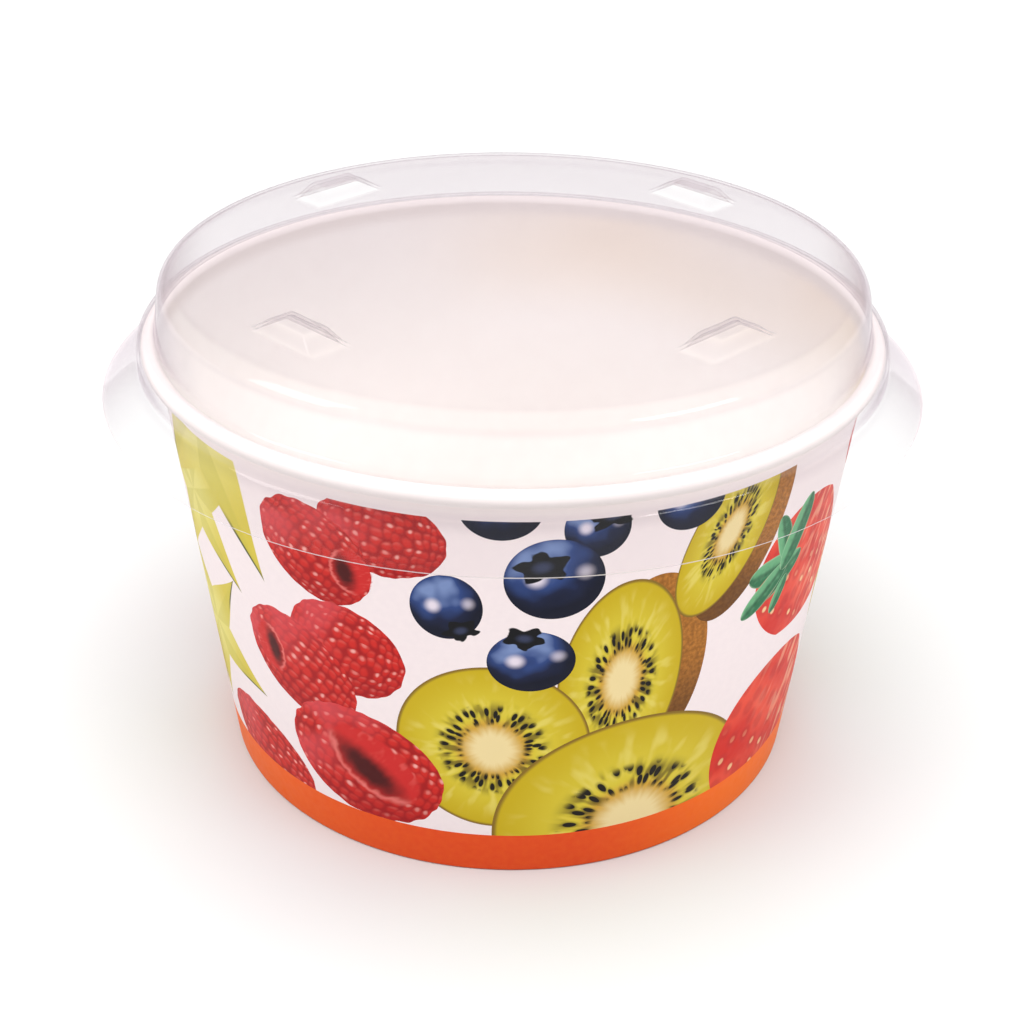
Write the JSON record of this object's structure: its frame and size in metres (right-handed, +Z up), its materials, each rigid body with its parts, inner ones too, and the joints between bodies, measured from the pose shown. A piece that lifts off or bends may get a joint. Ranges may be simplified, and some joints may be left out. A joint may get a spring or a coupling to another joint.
{
  "type": "paper bowl with lid",
  "caption": "Round tapered paperboard food bowl with a rolled rim, a recessed base and a clear press-on lid with a low crown, stacking lugs and a flared skirt.",
  "frame": {"origin": "centre of the foot, on the table", "axes": "+Z up along the axis of the bowl, the side seam at the back on +Y"},
  "size_m": [0.1248, 0.1248, 0.0811],
  "materials": {
    "printed_board": "coated board with a printed decoration outside and plain white inside",
    "base_board": "plain white coated board",
    "clear_lid": "clear thermoformed sheet"
  },
  "bodies": {
    "bowl": {"side_wall": "printed_board", "base_disc": "base_board"},
    "lid": {"lid": "clear_lid"}
  },
  "joints": [
    {"name": "lid_lift", "type": "slide", "parent": "bowl", "child": "lid", "axis": [0, 0, 1], "range_m": [0, 0.05]}
  ]
}
